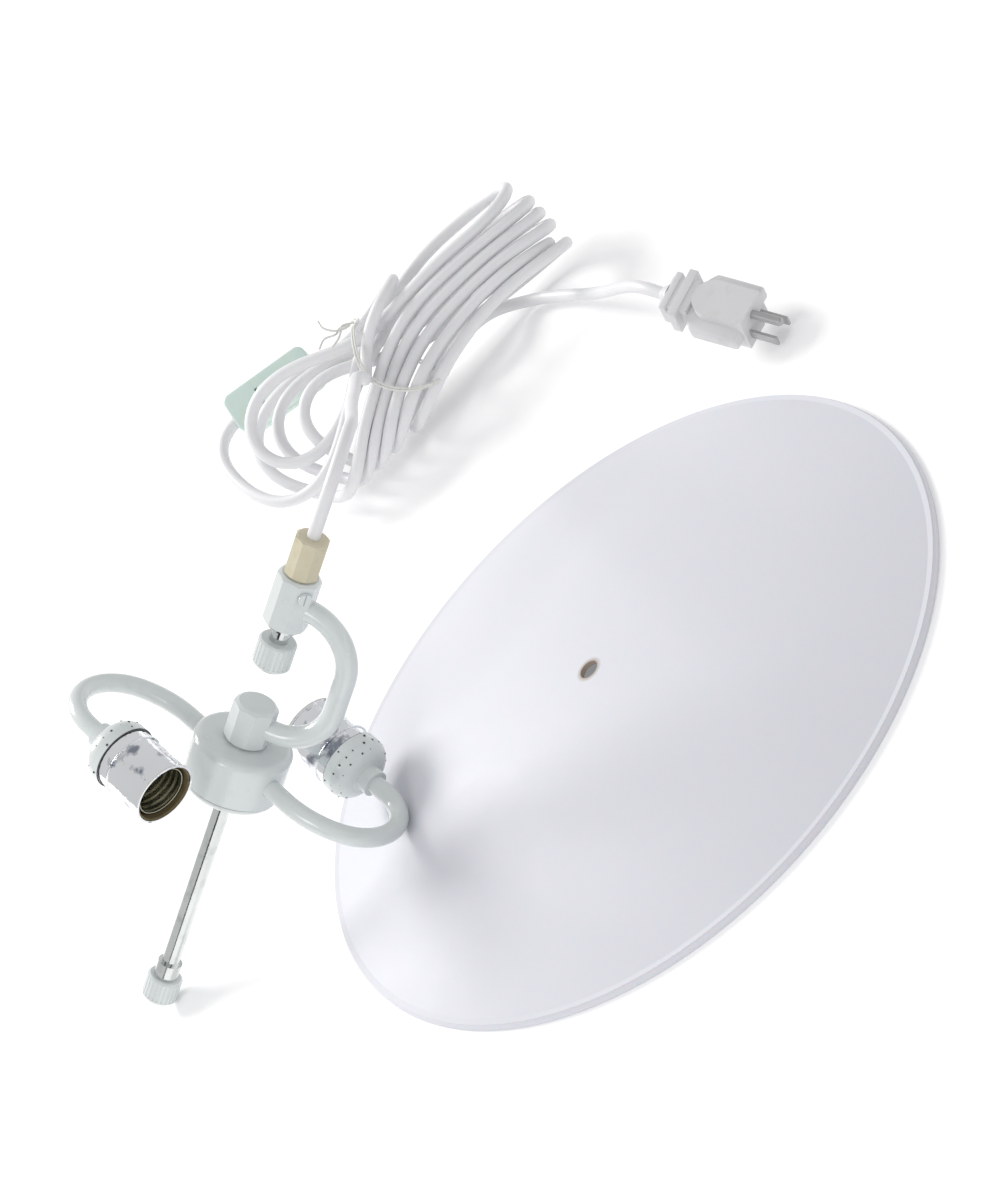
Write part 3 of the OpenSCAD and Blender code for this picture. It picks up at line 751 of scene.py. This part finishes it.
socketSetup = {"armHeading": -38.0, "armZ": -1.0, "reach": 38.0, "wide": (50.0, 35.0), "back": (27.0, 145.0),
               "lead": 8.0, "capLength": 20.0, "length": 52.0, "screw": 13.3, "pitch": 3.6,
               "rows": [(15.2, 10.4, 14), (17.3, 13.8, 18), (17.95, 18.0, 20)], "hole": 0.75}


def socketPlace(side, setup):
    place = Matrix.Translation((setup["reach"], 0, 0))
    for radius, turn in (setup["wide"], setup["back"]):
        angle = math.radians(turn)
        step = Matrix.Translation((radius * math.sin(angle), radius * (1 - math.cos(angle)), 0))
        place = place @ step @ turned("Z", turn)
    return (onFixture @ turned("Z", 180 * side) @ Matrix.Translation((0, 0, setup["armZ"]))
            @ turned("Z", setup["armHeading"]) @ place
            @ Matrix.Translation((setup["lead"], 0, 0)) @ turned("Y", 90))


def makeScrewShell(sideName, place, setup):
    # a thin sleeve rolled into a rounded thread
    low, high = setup["capLength"] + 6.6, setup["length"] - 3
    levels = 64
    deselect()
    bpy.ops.mesh.primitive_circle_add(vertices=72, radius=setup["screw"] + 0.15, location=(0, 0, 0))
    shell = bpy.context.object
    shell.name = "screwShell" + sideName
    shell.data.transform(Matrix.Translation((0, 0, low)))
    bpy.ops.object.mode_set(mode="EDIT")
    bpy.ops.mesh.select_all(action="SELECT")
    for level in range(levels):
        bpy.ops.mesh.extrude_region_move(TRANSFORM_OT_translate={"value": (0, 0, (high - low) / levels)})
    bpy.ops.object.mode_set(mode="OBJECT")
    for vertex in shell.data.vertices:
        turn = math.atan2(vertex.co.y, vertex.co.x) / (2 * math.pi)
        phase = 2 * math.pi * ((vertex.co.z - low) / setup["pitch"] - turn)
        fade = min(1, (high - vertex.co.z) / 1.5)
        radius = setup["screw"] + 0.15 + 0.45 * (0.5 + 0.5 * math.cos(phase)) * fade
        scale = radius / math.hypot(vertex.co.x, vertex.co.y)
        vertex.co.x *= scale
        vertex.co.y *= scale
    wall = shell.modifiers.new("wall", "SOLIDIFY")
    wall.thickness = 0.35
    wall.offset = 0
    bpy.context.view_layer.objects.active = shell
    bpy.ops.object.modifier_apply(modifier="wall")
    body = sideName.lower() + "_arm"
    finishPiece(shell, place, made["dullBrass"], body, smooth=60)
    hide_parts("screw_shell_" + sideName.lower())


def makeVents(sideName, place, setup):
    # painted shade: small dark dots in rings on the cap stand in for the shade inside the vent holes, a
    # little uneven as drilled by hand
    deselect()
    bpy.ops.mesh.primitive_uv_sphere_add(segments=8, ring_count=4, radius=setup["hole"], location=(0, 0, 0))
    pattern = bpy.context.object
    copies = []
    for row, (radius, level, count) in enumerate(setup["rows"]):
        for index in range(count):
            if row == 2 and index % 3:
                continue
            angle = 2 * math.pi * (index + 0.5 * row) / count + random.uniform(-0.07, 0.07)
            dot = pattern.copy()
            dot.data = pattern.data.copy()
            size = random.uniform(0.6, 1.15)
            lift = random.uniform(-0.7, 0.7)
            spot = (radius * math.cos(angle), radius * math.sin(angle), level + lift)
            dot.data.transform(Matrix.Translation(spot) @ Matrix.Scale(size, 4))
            bpy.context.scene.collection.objects.link(dot)
            copies.append(dot)
    bpy.data.objects.remove(pattern)
    vents = joinPieces(copies[0], *copies[1:])
    vents.name = "capVents" + sideName
    finishPiece(vents, place, made["ventDark"], sideName.lower() + "_arm", smooth=60)


def makeSeam(sideName, place, setup):
    # the dark line where cap and shell meet, the pressed ring under it, and the pale lip at the mouth
    rings = [(setup["capLength"] + 0.1, 0.35, 17.55, "ventDark", "chrome"),
             (setup["capLength"] + 7.0, 0.5, 17.25, "wrinkledChrome", "chrome"),
             (setup["length"] - 0.6, 0.55, 17.0, "ivoryPlastic", "ivory_plastic")]
    for number, (level, thickness, radius, finish, slotName) in enumerate(rings):
        deselect()
        bpy.ops.mesh.primitive_torus_add(major_segments=80, minor_segments=10, major_radius=radius,
                                         minor_radius=thickness, location=(0, 0, 0))
        ring = bpy.context.object
        ring.data.transform(Matrix.Translation((0, 0, level)))
        ring.name = finish + "Ring" + sideName + str(number)
        finishPiece(ring, place, made[finish], sideName.lower() + "_arm", smooth=60)


for side, sideName in ((1, "Left"), (0, "Right")):
    place = socketPlace(side, socketSetup)
    makeScrewShell(sideName, place, socketSetup)
    makeVents(sideName, place, socketSetup)
    makeSeam(sideName, place, socketSetup)
print("sockets detailed")

# The cord's finish and its body, with the CAD cord pieces hidden

cord.data.materials.append(made["cordVinyl"])
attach(cord, "fixture")
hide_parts("cord_lead", "cord_hank", "cord_tail")

# Floor, light and dark cards for the plated parts to mirror

stageSetup = {"floor": 12.0, "glow": 0.12, "world": 0.66, "paper": (0.93, 0.93, 0.935)}


lightSetup = {
    "keyLight": {"place": (-0.9, 2.5, 1.8), "aim": (0.05, 0.05, 0), "size": 1.1, "power": 62,
                 "tint": (1.0, 0.99, 0.97)},
    "fillLight": {"place": (-1.8, -1.2, 2.0), "aim": (0, 0.05, 0.05), "size": 1.0, "power": 17},
}
cardAim = (-0.1, 0.05, 0.08)
cardSetup = {
    "cardLeft": {"place": (-1.3, -0.6, 0.55), "width": 0.5, "height": 1.2, "shade": 0.03},
    "cardFront": {"place": (0.3, -1.5, 0.35), "width": 1.3, "height": 0.35, "shade": 0.05},
    "cardHigh": {"place": (-0.5, -0.4, 1.5), "width": 0.35, "height": 1.1, "shade": 0.05},
    "cardRight": {"place": (1.1, -0.3, 0.8), "width": 0.3, "height": 1.0, "shade": 0.06},
}


def makeFloor(setup):
    deselect()
    bpy.ops.mesh.primitive_plane_add(size=setup["floor"], location=(0, 0, -0.0002))
    floor = bpy.context.object
    floor.name = "paperFloor"
    material, shader, place = startMaterial("whitePaper", {"Specular IOR Level": 0.0})
    plug(shader, "Base Color", place.noise(3, 1.0).blend(setup["paper"], (0.95, 0.95, 0.95)))
    plug(shader, "Roughness", 0.9 + 0.05 * place.noise(40))
    shader.inputs["Emission Color"].default_value = (1, 1, 1, 1)
    shader.inputs["Emission Strength"].default_value = setup["glow"]
    floor.data.materials.append(material)


def makeLight(name, place, aim, size, power, tint=(1, 1, 1)):
    data = bpy.data.lights.new(name, "AREA")
    data.energy = power
    data.size = size
    data.color = tint
    lamp = bpy.data.objects.new(name, data)
    lamp.location = place
    lamp.rotation_euler = (Vector(aim) - Vector(place)).to_track_quat("-Z", "Y").to_euler()
    bpy.context.scene.collection.objects.link(lamp)


def makeCard(name, place, aim, width, height, shade):
    deselect()
    bpy.ops.mesh.primitive_plane_add(size=1, location=(0, 0, 0))
    card = bpy.context.object
    card.name = name
    facing = (Vector(aim) - Vector(place)).to_track_quat("Z", "Y").to_matrix().to_4x4()
    card.data.transform(Matrix.Translation(place) @ facing @ Matrix.Diagonal((width, height, 1, 1)))
    material, shader, spot = startMaterial(name, {"Specular IOR Level": 0.0})
    plug(shader, "Base Color", spot.noise(2, 1.0).blend((shade,) * 3, (shade * 1.2,) * 3))
    card.data.materials.append(material)
    card.visible_camera = False
    card.visible_diffuse = False
    card.visible_shadow = False


makeFloor(stageSetup)
world = bpy.data.worlds.new("studio")
world.use_nodes = True
world.node_tree.nodes["Background"].inputs["Color"].default_value = (0.985, 0.99, 1.0, 1)
world.node_tree.nodes["Background"].inputs["Strength"].default_value = stageSetup["world"]
bpy.context.scene.world = world
for name, light in lightSetup.items():
    makeLight(name, **light)
for name, card in cardSetup.items():
    makeCard(name, aim=cardAim, **card)
bpy.context.scene.view_settings.view_transform = "Standard"
print("stage set")
